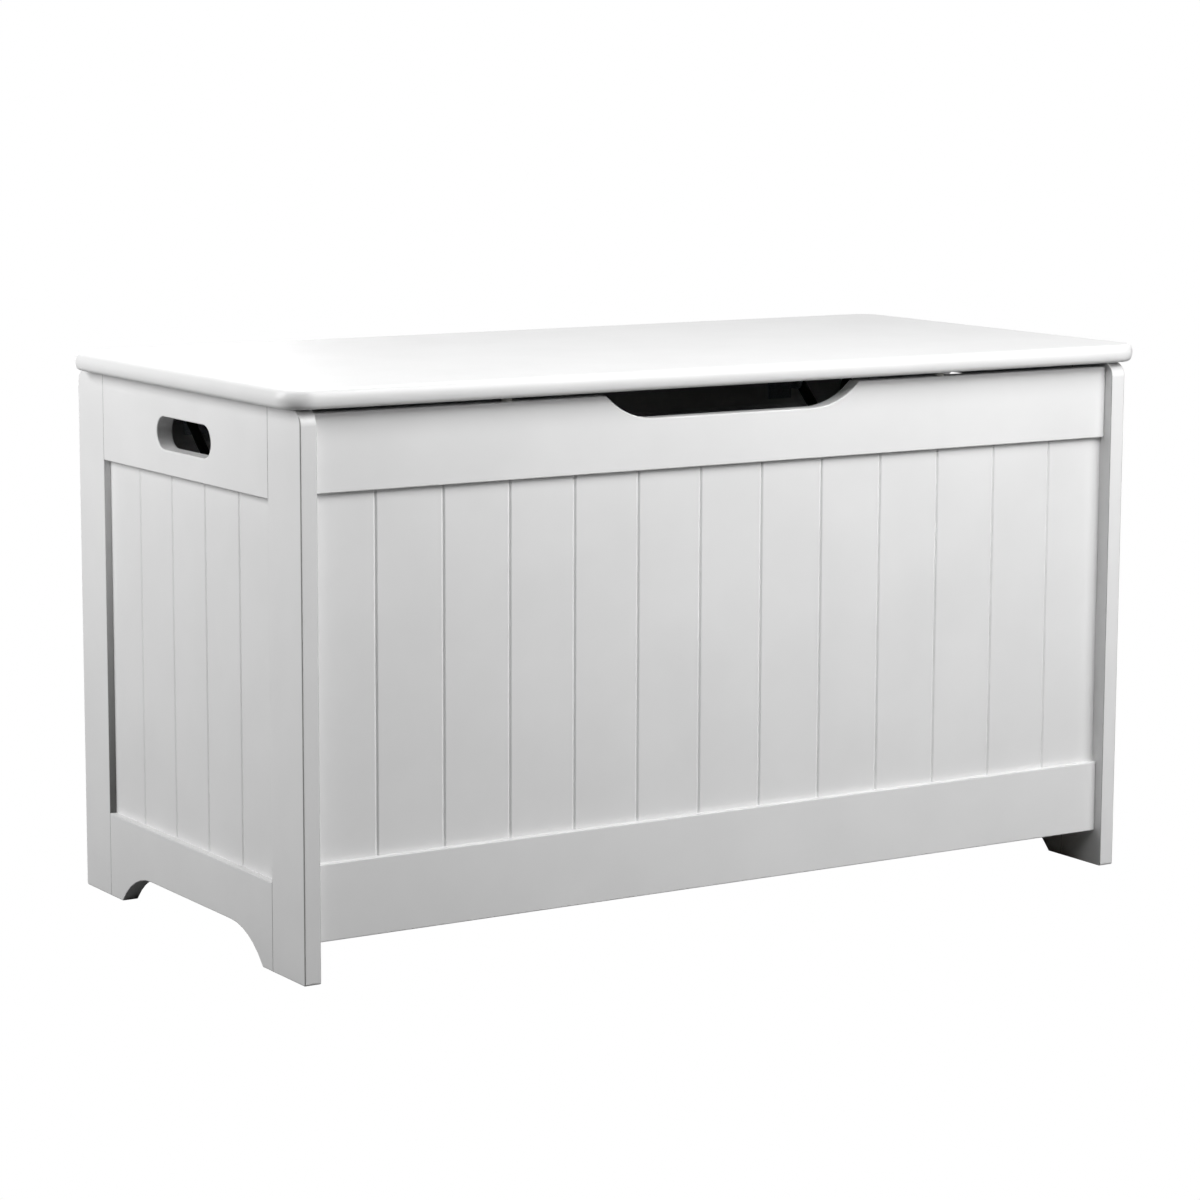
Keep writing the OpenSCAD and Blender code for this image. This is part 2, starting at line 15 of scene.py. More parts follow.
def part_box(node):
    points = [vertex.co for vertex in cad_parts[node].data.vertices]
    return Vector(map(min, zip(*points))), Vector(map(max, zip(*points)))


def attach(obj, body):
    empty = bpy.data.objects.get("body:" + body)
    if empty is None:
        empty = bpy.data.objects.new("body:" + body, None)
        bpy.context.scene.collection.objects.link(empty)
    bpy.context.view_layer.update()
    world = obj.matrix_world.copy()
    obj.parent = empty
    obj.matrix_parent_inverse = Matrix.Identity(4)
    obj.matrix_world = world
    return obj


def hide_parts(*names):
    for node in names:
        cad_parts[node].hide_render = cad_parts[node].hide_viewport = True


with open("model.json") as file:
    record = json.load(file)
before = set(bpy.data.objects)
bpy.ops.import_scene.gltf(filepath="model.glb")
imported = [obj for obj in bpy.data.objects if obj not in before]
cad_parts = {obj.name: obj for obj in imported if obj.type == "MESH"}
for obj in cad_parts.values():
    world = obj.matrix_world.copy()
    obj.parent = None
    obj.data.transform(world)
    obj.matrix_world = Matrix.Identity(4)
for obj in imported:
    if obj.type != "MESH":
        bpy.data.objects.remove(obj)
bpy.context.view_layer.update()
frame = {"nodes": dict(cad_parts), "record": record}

MM = 0.001
# A point HOLD beside a rounding keeps the shading of the flat next to it even
HOLD = 0.5 * MM
# Over FADE one edge's painted shade gives way to the next
FADE = 2 * MM
# A row that turns less than this only changes the edge radius
STRAIGHT_TURN = 0.01
# Above this sine of its turn, a corner is inset as the crossing of two lines
SHARP_SINE = 0.3
ARC_STEPS = 6
EDGE_STEPS = 4
LID_CORNER_STEPS = 16
LID_RIM_STEPS = 18
SLOT_END_STEPS = 16
CAM_STEPS = 48
SIDES = (("left", -1), ("right", 1))

# Shapes that a node's box doesn't give, as on the real boards
LID_CORNER_R = 25 * MM
LID_EDGE_R = 5 * MM
LID_BULGE_TURN = math.radians(20)
TOP_CORNER_R = 12 * MM
OUTER_EDGE_R = 1.1 * MM
EASED_R = 0.9 * MM
JOINT_R = 0.55 * MM
INSIDE_R = 0.6 * MM
CREST_R = 1.5 * MM
# Painted shade mid-rim: dark on the outer arrises, faint on the eased edges
ARRIS_SHADE = 0.8
EASED_SHADE = 0.12
CAM_R = 6 * MM
CAM_PROUD = 0.4 * MM
CAM_DEEP = 8 * MM
CAM_RECESS = 1 * MM
CAM_UP = 45 * MM
CAM_FROM_END = 24 * MM
CUT_DEPTH = 21 * MM
CUT_FLAT = 80 * MM
CUT_R = 72 * MM
SLOT_LEN = 103.5 * MM
SLOT_H = 28 * MM
SLOT_BELOW_TOP = 41 * MM
ARCH_H = 28.7 * MM
ARCH_FLAT = 75.5 * MM
ARCH_R = 80 * MM
FRONT_BEADS = 12
SIDE_BEADS = 4
BEAD_PITCH = 63.5 * MM
BEAD_HALF = 1.8 * MM
BEAD_DEEP = 1.4 * MM
SIDE_BEAD_SHIFT = 2.5 * MM
# The turn from a side rail's middle that comes to about FADE at its corners
FADE_TURN = 0.012


# ---- Outlines ----

def unit(v):
    return v / np.linalg.norm(v)


def outline(corners, steps=ARC_STEPS):
    """Closed outline from rows (u, v, corner radius, edge radius of the side that follows).

    A corner of radius r is an arc that is tangent to both its sides, so it starts r * tan(turn / 2) before
    the corner. A sharp corner gets a point FADE to either side, where one edge's painted shade gives way to
    the next.
    Returns the points and the edge radius of each stretch between two points.
    """
    rows = np.array(corners, float)
    points, edges = [], []
    for i, (u, v, r, edge) in enumerate(rows):
        corner = np.array([u, v])
        arrive = unit(corner - rows[i - 1, :2])
        leave = unit(rows[(i + 1) % len(rows), :2] - corner)
        turn = math.atan2(arrive[0] * leave[1] - arrive[1] * leave[0], arrive @ leave)
        if r == 0 and abs(turn) < STRAIGHT_TURN:
            points.append(corner[None])
            edges.append([edge])
            continue
        if r == 0:
            points.append(np.stack([corner - arrive * FADE, corner, corner + leave * FADE]))
            edges.append([rows[i - 1, 3], edge, edge])
            continue
        reach = r * math.tan(abs(turn) / 2)
        start = corner - arrive * reach
        spoke = math.copysign(r, turn) * np.array([arrive[1], -arrive[0]])
        a = np.linspace(0, turn, steps + 1)
        arc = (start - spoke) + np.stack(
            [spoke[0] * np.cos(a) - spoke[1] * np.sin(a), spoke[0] * np.sin(a) + spoke[1] * np.cos(a)], 1)
        points += [(start - arrive * HOLD)[None], arc, (corner + leave * (reach + HOLD))[None]]
        edges += [[rows[i - 1, 3]], np.linspace(rows[i - 1, 3], edge, steps + 1), [edge]]
    return np.concatenate(points), np.concatenate(edges)


def inset(points, edges, share):
    """Moves each point so that both stretches that meet there shift inward by a share of their radius."""
    along = np.roll(points, -1, 0) - points
    along /= np.linalg.norm(along, axis=1)[:, None]
    after = np.stack([-along[:, 1], along[:, 0]], 1)
    before = np.roll(after, 1, 0)
    d_after = share(edges)
    d_before = np.roll(d_after, 1)
    cross = before[:, 0] * after[:, 1] - before[:, 1] * after[:, 0]
    sharp = np.abs(cross) > SHARP_SINE
    safe = np.where(sharp, cross, 1)
    corner = np.stack([after[:, 1] * d_before - before[:, 1] * d_after,
                       before[:, 0] * d_after - after[:, 0] * d_before], 1) / safe[:, None]
    middle = (before + after) / (1 + (before * after).sum(1))[:, None] * ((d_before + d_after) / 2)[:, None]
    return points + np.where(sharp[:, None], corner, middle)


def drawn_in(points, edges, distance):
    """The outline moved inward by the same distance all round."""
    return inset(points, edges, lambda r: np.full(len(r), distance))


def edge_rings(points, edges, low, high, back=None):
    """Rings that run over a board's rim, from its front face at depth low to its back face at depth high.

    Each rim is a quarter circle, with the inset r * (1 - sin a) and the depth r * (1 - cos a) for a from 0
    to 90 degrees. The painted rim shade is 0 on the faces. In a joint it grows to 1, and on an open edge it
    peaks in mid-rim.
    """
    back = edges if back is None else back
    # Open edges get painted shade, much more on the outer arrises than on the eased ones; joints get it too
    open_edge_shade = np.where(edges > (EASED_R + OUTER_EDGE_R) / 2, ARRIS_SHADE, EASED_SHADE)
    in_joint = np.isclose(edges, JOINT_R)
    quarter = np.linspace(0, math.pi / 2, EDGE_STEPS + 1)
    rings, painted_rim_shade = [], []

    def add(radii, depth_of, a):
        inward = inset(points, radii, lambda r: r * (1 - math.sin(a)))
        rings.append((inward, depth_of(np.abs(radii) * (1 - math.cos(a)))))
        painted_rim_shade.append(np.where(in_joint, math.sin(a), open_edge_shade * math.sin(2 * a)))

    def face_ring(radii, depth):
        inward = inset(points, radii, lambda r: r + np.sign(r) * HOLD)
        rings.append((inward, np.full(len(points), depth)))
        painted_rim_shade.append(0)

    face_ring(edges, low)
    for a in quarter:
        add(edges, lambda d: low + (d + np.roll(d, 1)) / 2, a)
    add(edges, lambda d: low + HOLD + (d + np.roll(d, 1)) / 2, math.pi / 2)
    add(back, lambda d: high - HOLD - (d + np.roll(d, 1)) / 2, math.pi / 2)
    for a in quarter[::-1]:
        add(back, lambda d: high - (d + np.roll(d, 1)) / 2, a)
    face_ring(back, high)
    return rings, painted_rim_shade


# ---- Meshes ----

def mesh_from_rings(name, rings, painted_rim_shade, place, closed, material):
    """Joins rings of equally many points with four-sided faces.

    A closed skin joins its last ring to its first, and an open one gets a face over each end. place turns
    (u, v, depth) into x, y and z. The sign of the enclosed volume tells which way the faces point.
    """
    count = len(rings[0][0])
    grid = np.stack([place(uv[:, 0], uv[:, 1], depth) for uv, depth in rings])
    here = np.arange(count)
    ahead = np.roll(here, -1)
    lower = np.arange(len(rings) if closed else len(rings) - 1)
    upper = (lower + 1) % len(rings)
    quads = np.stack([lower[:, None] * count + here, lower[:, None] * count + ahead,
                      upper[:, None] * count + ahead, upper[:, None] * count + here], -1).reshape(-1, 4)
    faces = quads.tolist()
    if not closed:
        faces += [here[::-1].tolist(), (here + (len(rings) - 1) * count).tolist()]
    points = grid.reshape(-1, 3)
    if enclosed_volume(points, quads, faces[len(quads):]) < 0:
        faces = [f[::-1] for f in faces]
    mesh = bpy.data.meshes.new(name)
    mesh.from_pydata(points, [], faces)
    mesh.shade_smooth()
    # The rim attribute carries the painted shade of edges and joints into the lacquer
    mark = mesh.attributes.new("rim", "FLOAT", "POINT")
    painted_shade_on_rims = np.concatenate([np.broadcast_to(w, count) for w in painted_rim_shade])
    mark.data.foreach_set("value", painted_shade_on_rims.astype(np.float32))
    mesh.materials.append(material)
    piece = bpy.data.objects.new(name, mesh)
    bpy.context.scene.collection.objects.link(piece)
    return piece


def enclosed_volume(points, quads, caps):
    """Six times the volume, as the sum of a . (b x c) over triangle fans."""
    fans = [quads[:, [0, 1, 2]], quads[:, [0, 2, 3]]]
    for cap in caps:
        cap = np.array(cap)
        fans.append(np.stack([np.full(len(cap) - 2, cap[0]), cap[1:-1], cap[2:]], 1))
    a, b, c = (points[np.concatenate(fans)[:, k]] for k in range(3))
    return (a * np.cross(b, c)).sum()


def stand_in(piece, node):
    """Puts a remade board in the place of its CAD node: on the same body, with the node hidden."""
    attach(piece, body_of_node[node])
    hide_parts(node)


def board(node, corners, low, high, place, material, back_edge=None):
    points, edges = outline(corners)
    back = None if back_edge is None else np.minimum(edges, back_edge)
    rings, painted_rim_shade = edge_rings(points, edges, low, high, back)
    stand_in(mesh_from_rings(node + "_eased", rings, painted_rim_shade, place, False, material), node)


def facing_front(u, v, depth):
    return np.stack([u, depth, v], -1)


def facing_back(u, v, depth):
    return np.stack([u, -depth, v], -1)


def facing_side(s):
    return lambda u, v, depth: np.stack([s * depth, u, v], -1)


def facing_up(u, v, depth):
    return np.stack([u, v, -depth], -1)


body_of_node = {n: b for b, nodes in frame["record"]["behaviour"]["bodies"].items() for n in nodes}
slot_of_node = {row["node"]: row["material_slot"] for row in frame["record"]["subparts"]}


# ---- Materials ----

def hex_colour(code):
    """sRGB hex to linear light."""
    srgb = np.array([int(code[i:i + 2], 16) for i in (1, 3, 5)]) / 255
    linear = np.where(srgb <= 0.04045, srgb / 12.92, ((srgb + 0.055) / 1.055) ** 2.4)
    return (*linear.tolist(), 1.0)


def add_node(tree, kind, settings=None, links=None):
    """Adds a node, sets its sockets and properties by name, and links its inputs to other nodes' outputs."""
    node = tree.nodes.new(kind)
    for key, value in (settings or {}).items():
        if key in node.inputs:
            node.inputs[key].default_value = value
        else:
            setattr(node, key, value)
    for key, source in (links or {}).items():
        tree.links.new(node.inputs[key], source)
    return node


def new_material(name):
    material = bpy.data.materials.new(name)
    material.use_nodes = True
    tree = material.node_tree
    tree.nodes.clear()
    shader = add_node(tree, "ShaderNodeBsdfPrincipled")
    add_node(tree, "ShaderNodeOutputMaterial", links={"Surface": shader.outputs["BSDF"]})
    coords = add_node(tree, "ShaderNodeTexCoord").outputs["Object"]
    return material, tree, shader, coords


def white_lacquer(name, light, shade, roughness):
    """Satin acid-catalysed lacquer sprayed on sanded MDF.

    To the eye it is an even soft white with a faint orange peel and a slightly cloudy film. Painted shade
    darkens the edges and the joints towards a dark grey, following the rim attribute.
    """
    material, tree, shader, coords = new_material(name)
    cloud = add_node(tree, "ShaderNodeTexNoise", {"Scale": 14.0, "Detail": 3.0}, {"Vector": coords})
    film = add_node(tree, "ShaderNodeValToRGB", links={"Fac": cloud.outputs["Fac"]})
    film.color_ramp.elements[0].position = 0.3
    film.color_ramp.elements[0].color = hex_colour(shade)
    film.color_ramp.elements[1].position = 0.7
    film.color_ramp.elements[1].color = hex_colour(light)
    # The rim attribute mixes painted shade, a dark grey, into the edges and joints
    rim = add_node(tree, "ShaderNodeAttribute", {"attribute_name": "rim"}).outputs["Fac"]
    painted_shade_on_rims = add_node(tree, "ShaderNodeMix", {"data_type": "RGBA"}, {0: rim, 6: film.outputs["Color"]})
    painted_shade_on_rims.inputs[7].default_value = hex_colour("#6E6E6C")
    tree.links.new(shader.inputs["Base Color"], painted_shade_on_rims.outputs[2])
    sheen_map = add_node(tree, "ShaderNodeTexNoise", {"Scale": 90.0, "Detail": 2.0}, {"Vector": coords})
    gloss = add_node(tree, "ShaderNodeMapRange", {"To Min": roughness - 0.04, "To Max": roughness + 0.05},
                     {"Value": sheen_map.outputs["Fac"]})
    tree.links.new(shader.inputs["Roughness"], gloss.outputs["Result"])
    # Orange peel about 1.5 mm across and a few microns high
    peel = add_node(tree, "ShaderNodeTexNoise", {"Scale": 650.0, "Detail": 1.0}, {"Vector": coords})
    bump = add_node(tree, "ShaderNodeBump", {"Strength": 0.25, "Distance": 0.00003},
                    {"Height": peel.outputs["Fac"]})
    tree.links.new(shader.inputs["Normal"], bump.outputs["Normal"])
    shader.inputs["IOR"].default_value = 1.5
    return material


def planed_pine(name):
    """Planed, unfinished pine for the cleats and dowels: pale straw with darker lines about 3 mm apart."""
    material, tree, shader, coords = new_material(name)
    grain = add_node(tree, "ShaderNodeMapping", {"Scale": (6.0, 60.0, 330.0)}, {"Vector": coords})
    rings = add_node(tree, "ShaderNodeTexNoise", {"Scale": 1.0, "Detail": 4.0, "Distortion": 0.6},
                     {"Vector": grain.outputs["Vector"]})
    ramp = add_node(tree, "ShaderNodeValToRGB", links={"Fac": rings.outputs["Fac"]})
    ramp.color_ramp.elements[0].position = 0.35
    ramp.color_ramp.elements[0].color = hex_colour("#C79A62")
    ramp.color_ramp.elements[1].position = 0.62
    ramp.color_ramp.elements[1].color = hex_colour("#E3C796")
    tree.links.new(shader.inputs["Base Color"], ramp.outputs["Color"])
    bump = add_node(tree, "ShaderNodeBump", {"Strength": 0.3, "Distance": 0.0001},
                    {"Height": rings.outputs["Fac"]})
    tree.links.new(shader.inputs["Normal"], bump.outputs["Normal"])
    shader.inputs["Roughness"].default_value = 0.7
    return material


def zinc_plate(name):
    """Bright zinc-plated pressed steel: a bluish grey metal with a faint spangle and a satin gloss."""
    material, tree, shader, coords = new_material(name)
    spangle = add_node(tree, "ShaderNodeTexVoronoi", {"Scale": 900.0}, {"Vector": coords})
    tone = add_node(tree, "ShaderNodeMapRange", {"To Min": 0.28, "To Max": 0.42},
                    {"Value": spangle.outputs["Color"]})
    tree.links.new(shader.inputs["Roughness"], tone.outputs["Result"])
    ramp = add_node(tree, "ShaderNodeValToRGB", links={"Fac": spangle.outputs["Color"]})
    ramp.color_ramp.elements[0].color = hex_colour("#A9AEB5")
    ramp.color_ramp.elements[1].color = hex_colour("#C9CDD2")
    tree.links.new(shader.inputs["Base Color"], ramp.outputs["Color"])
    shader.inputs["Metallic"].default_value = 1.0
    return material


def black_powder_coat(name):
    """Black powder-coated steel strip: near-black with a low sheen and a fine pebbled skin."""
    material, tree, shader, coords = new_material(name)
    pebble = add_node(tree, "ShaderNodeTexNoise", {"Scale": 1500.0, "Detail": 2.0}, {"Vector": coords})
    ramp = add_node(tree, "ShaderNodeValToRGB", links={"Fac": pebble.outputs["Fac"]})
    ramp.color_ramp.elements[0].color = hex_colour("#0C0C0D")
    ramp.color_ramp.elements[1].color = hex_colour("#1B1B1D")
    tree.links.new(shader.inputs["Base Color"], ramp.outputs["Color"])
    bump = add_node(tree, "ShaderNodeBump", {"Strength": 0.4, "Distance": 0.00008},
                    {"Height": pebble.outputs["Fac"]})
    tree.links.new(shader.inputs["Normal"], bump.outputs["Normal"])
    shader.inputs["Roughness"].default_value = 0.5
    return material


def soft_bumper(name):
    """Pale polyurethane bumper: milky, a little waxy, with dust dulling it in places."""
    material, tree, shader, coords = new_material(name)
    dust = add_node(tree, "ShaderNodeTexNoise", {"Scale": 700.0, "Detail": 3.0}, {"Vector": coords})
    ramp = add_node(tree, "ShaderNodeValToRGB", links={"Fac": dust.outputs["Fac"]})
    ramp.color_ramp.elements[0].color = hex_colour("#C9C8C2")
    ramp.color_ramp.elements[1].color = hex_colour("#E4E3DD")
    tree.links.new(shader.inputs["Base Color"], ramp.outputs["Color"])
    shader.inputs["Roughness"].default_value = 0.45
    return material


FINISHES = {
    "lid_paint": white_lacquer("satin_lacquer_lid", "#E8E8E8", "#E5E5E5", 0.40),
    "frame_paint": white_lacquer("satin_lacquer_frame", "#E7E7E7", "#E3E3E3", 0.42),
    "panel_paint": white_lacquer("satin_lacquer_panel", "#E6E6E6", "#E2E2E2", 0.44),
    "bare_pine": planed_pine("planed_pine"),
    "zinc_steel": zinc_plate("zinc_plated_steel"),
    "black_steel": black_powder_coat("black_powder_coated_steel"),
    "bumper_rubber": soft_bumper("polyurethane_bumper"),
}

for node_name, node_object in frame["nodes"].items():
    node_object.data.materials.clear()
    node_object.data.materials.append(FINISHES[slot_of_node[node_name]])


# ---- Lid ----

def make_lid():
    """A rounded rectangle whose rim has arcs of LID_EDGE_R above and below, and a faint bulge between.

    The bulge turns LID_BULGE_TURN to either side of level. Its radius is such that it fills what the arcs
    leave of the thickness.
    """
    low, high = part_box("lid_board")
    corners = [(low.x, low.y), (high.x, low.y), (high.x, high.y), (low.x, high.y)]
    points, edges = outline([(*c, LID_CORNER_R, LID_EDGE_R) for c in corners], LID_CORNER_STEPS)
    half_t = (high.z - low.z) / 2
    middle = (high.z + low.z) / 2
    bulge_r = (half_t - LID_EDGE_R * (1 - math.sin(LID_BULGE_TURN))) / math.sin(LID_BULGE_TURN)
    rings = []
    for a in np.linspace(math.pi / 2, -math.pi / 2, LID_RIM_STEPS + 1):
        level = np.clip(a, -LID_BULGE_TURN, LID_BULGE_TURN)
        inward = bulge_r * (1 - math.cos(level)) + LID_EDGE_R * (math.cos(level) - math.cos(a))
        up = bulge_r * math.sin(level) + LID_EDGE_R * (math.sin(a) - math.sin(level))
        rings.append((drawn_in(points, edges, inward), np.full(len(points), -middle - up)))
    top, bottom = ((drawn_in(ring, edges, HOLD), depth) for ring, depth in (rings[0], rings[-1]))
    rings = [top, *rings, bottom]
    painted_rim_shade = np.zeros(len(rings))
    lid = mesh_from_rings("lid_bullnosed", rings, painted_rim_shade, facing_up, False, FINISHES["lid_paint"])
    stand_in(lid, "lid_board")


# ---- Front and back ----

def make_long_rails():
    for node in ("front_bottom_rail", "back_bottom_rail", "back_top_rail"):
        low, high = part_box(node)
        corners = [(low.x, low.z, 0, EASED_R), (high.x, low.z, 0, JOINT_R),
                   (high.x, high.z, 0, EASED_R), (low.x, high.z, 0, JOINT_R)]
        if node.startswith("front"):
            board(node, corners, low.y, high.y, facing_front, FINISHES["frame_paint"], INSIDE_R)
        else:
            board(node, corners, -high.y, -low.y, facing_back, FINISHES["frame_paint"], INSIDE_R)


def room_for_crest(r, turn):
    """The radius left to an arc once a crest of CREST_R and three holds share the tangent with it."""
    return r - CREST_R - 3 * HOLD / math.tan(turn / 2)


def make_finger_rail():
    """The top front rail, whose top edge dips in the middle to a flat with an arc of CUT_R at either end.

    An arc that climbs CUT_DEPTH from the flat has turned through acos(1 - CUT_DEPTH / CUT_R) at the top edge.
    """
    low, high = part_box("front_top_rail")
    slope = math.acos(1 - CUT_DEPTH / CUT_R)
    bend = CUT_FLAT + CUT_R * math.tan(slope / 2)
    crest = bend + CUT_DEPTH / math.tan(slope)
    arc_r = room_for_crest(CUT_R, slope)
    floor_z = high.z - CUT_DEPTH
    corners = [
        (low.x, low.z, 0, EASED_R), (high.x, low.z, 0, JOINT_R), (high.x, high.z, 0, EASED_R),
        (crest, high.z, CREST_R, EASED_R), (bend, floor_z, arc_r, EASED_R),
        (-bend, floor_z, arc_r, EASED_R), (-crest, high.z, CREST_R, EASED_R), (low.x, high.z, 0, JOINT_R)]
    board("front_top_rail", corners, low.y, high.y, facing_front, FINISHES["frame_paint"], EASED_R)


def groove(distance):
    """Depth of a V groove with soft shoulders: BEAD_DEEP * (1 - |d| / BEAD_HALF) ** 1.15, 0 outside it."""
    return BEAD_DEEP * np.clip(1 - np.abs(distance) / BEAD_HALF, 0, 1) ** 1.15


def bead_places(count):
    """Where the grooves are, either side of the sheet's middle."""
    return (np.arange(count) - (count - 1) / 2) * BEAD_PITCH


def grooved_sheet(node, low_u, high_u, face, back, low_v, high_v, beads, place):
    """A thin sheet whose section across the grooves is carried straight up, from one housing to the other."""
    one_side = BEAD_HALF * np.array([0.08, 0.2, 0.35, 0.55, 0.8, 1, 1.2])
    steps = np.concatenate([-one_side[::-1], [0], one_side])
    grooves = (beads[:, None] + steps).ravel()
    across = np.concatenate([[low_u, low_u + HOLD], grooves, [high_u - HOLD, high_u]])
    nearest = np.abs(across[:, None] - beads).min(1)
    front_line = np.stack([across, face + groove(nearest)], 1)
    rear = [[high_u, back - HOLD], [high_u, back], [high_u - HOLD, back], [low_u + HOLD, back], [low_u, back]]
    section = np.concatenate([front_line, rear, [[low_u, back - HOLD]]])
    rings = [(section, np.full(len(section), v)) for v in (low_v, low_v + HOLD, high_v - HOLD, high_v)]
    painted_rim_shade = np.zeros(len(rings))
    sheet = mesh_from_rings(node + "_grooved", rings, painted_rim_shade, place, False, FINISHES["panel_paint"])
    stand_in(sheet, node)


def make_front_beadboard():
    low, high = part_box("front_beadboard")
    beads = bead_places(FRONT_BEADS)
    grooved_sheet("front_beadboard", low.x, high.x, low.y, high.y, low.z, high.z, beads,
                  lambda u, v, depth: np.stack([u, v, depth], -1))


def make_plain_panels():
    """The back panel and the floor panel, thin sheets with barely eased edges."""
    low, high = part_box("back_panel")
    corners = [(low.x, low.z, 0, INSIDE_R), (high.x, low.z, 0, INSIDE_R),
               (high.x, high.z, 0, INSIDE_R), (low.x, high.z, 0, INSIDE_R)]
    board("back_panel", corners, -high.y, -low.y, facing_back, FINISHES["panel_paint"])
    low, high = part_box("floor_panel")
    corners = [(low.x, low.y, 0, INSIDE_R), (high.x, low.y, 0, INSIDE_R),
               (high.x, high.y, 0, INSIDE_R), (low.x, high.y, 0, INSIDE_R)]
    board("floor_panel", corners, -high.z, -low.z, facing_up, FINISHES["panel_paint"])


def make_cam_locks():
    """A cam lock in each rail end: a turned face that stands CAM_PROUD out of the wood, with a cross recess.

    The recess's outline is r = 1.3 + 2.2 * cos(2a) ** 6 mm, which is a cross with four soft arms.
    """
    a = np.linspace(0, 2 * np.pi, CAM_STEPS + 1)[:-1]
    circle = np.stack([np.cos(a), np.sin(a)], 1)
    cross = (1.3 + 2.2 * np.cos(2 * a) ** 6)[:, None] * circle * MM
    profile = [(CAM_R, CAM_DEEP), (CAM_R, 0), (CAM_R - 0.1 * MM, -0.3 * MM),
               (CAM_R - 0.5 * MM, -CAM_PROUD), (CAM_R - 0.8 * MM, -CAM_PROUD)]
    for rail in ("front_top_rail", "front_bottom_rail", "back_top_rail", "back_bottom_rail"):
        low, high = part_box(rail)
        front = rail.startswith("front")
        face = -high.y if front else low.y
        for side, s in SIDES:
            centre = np.array([(low.x if s < 0 else high.x) - s * CAM_FROM_END, low.z + CAM_UP])
            rings = [(centre + r * circle, np.full(len(a), face + depth)) for r, depth in profile]
            rings += [(centre + cross, np.full(len(a), face + depth)) for depth in (-CAM_PROUD, CAM_RECESS)]
            place = facing_back if front else facing_front
            painted_rim_shade = np.zeros(len(rings))
            lock = mesh_from_rings(f"{side}_{rail}_cam", rings, painted_rim_shade, place, False, FINISHES["zinc_steel"])
            stand_in(lock, "cam_locks")


# ---- Sides ----

def make_stiles(side, s):
    """A stile stands full height. Its outer edge is rounded over, its inner edge crisp at the rails."""
    rail_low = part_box(side + "_bottom_rail")[1].z
    rail_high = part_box(side + "_top_rail")[0].z
    for end in ("front", "back"):
        node = f"{side}_{end}_stile"
        low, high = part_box(node)
        outer, inner = (low.y, high.y) if end == "front" else (high.y, low.y)
        foot_r = OUTER_EDGE_R + 2 * HOLD
        corners = [
            (outer, low.z, foot_r, EASED_R), (inner, low.z, 0, JOINT_R),
            (inner, rail_low - MM, 0, JOINT_R), (inner, rail_low + MM, 0, EASED_R),
            (inner, rail_high - MM, 0, JOINT_R), (inner, rail_high + MM, 0, JOINT_R),
            (inner, high.z, 0, EASED_R), (outer, high.z, TOP_CORNER_R, OUTER_EDGE_R)]
        if end == "back":
            corners = mirrored_order(corners)
        x_out, x_in = (high.x, low.x) if s > 0 else (-low.x, -high.x)
        board(node, corners, -x_out, -x_in, facing_side(-s), FINISHES["frame_paint"], INSIDE_R)


def mirrored_order(corners):
    """The same corners walked the other way round, each edge radius moved to the corner that now leads it."""
    rows = corners[::-1]
    return [(*row[:3], rows[(i + 1) % len(rows)][3]) for i, row in enumerate(rows)]


def make_bottom_rail(side, s):
    """Two feet with an arch between them: an arc of ARCH_R leads from each foot into the flat top."""
    node = side + "_bottom_rail"
    low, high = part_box(node)
    mid = sum(stile_span(side)) / 2
    slope = math.acos(1 - ARCH_H / ARCH_R)
    bend = ARCH_FLAT + ARCH_R * math.tan(slope / 2)
    foot = bend + ARCH_H / math.tan(slope)
    arc_r = room_for_crest(ARCH_R, slope)
    corners = [
        (low.y, low.z, 0, EASED_R), (mid - foot, low.z, CREST_R, EASED_R),
        (mid - bend, ARCH_H, arc_r, EASED_R), (mid + bend, ARCH_H, arc_r, EASED_R),
        (mid + foot, low.z, CREST_R, EASED_R), (high.y, low.z, 0, JOINT_R),
        (high.y, high.z, 0, EASED_R), (low.y, high.z, 0, JOINT_R)]
    x_out, x_in = (high.x, low.x) if s > 0 else (-low.x, -high.x)
    board(node, corners, -x_out, -x_in, facing_side(-s), FINISHES["frame_paint"], INSIDE_R)


def stile_span(side):
    """The side's front and back edges, as y."""
    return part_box(side + "_front_stile")[0].y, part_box(side + "_back_stile")[1].y


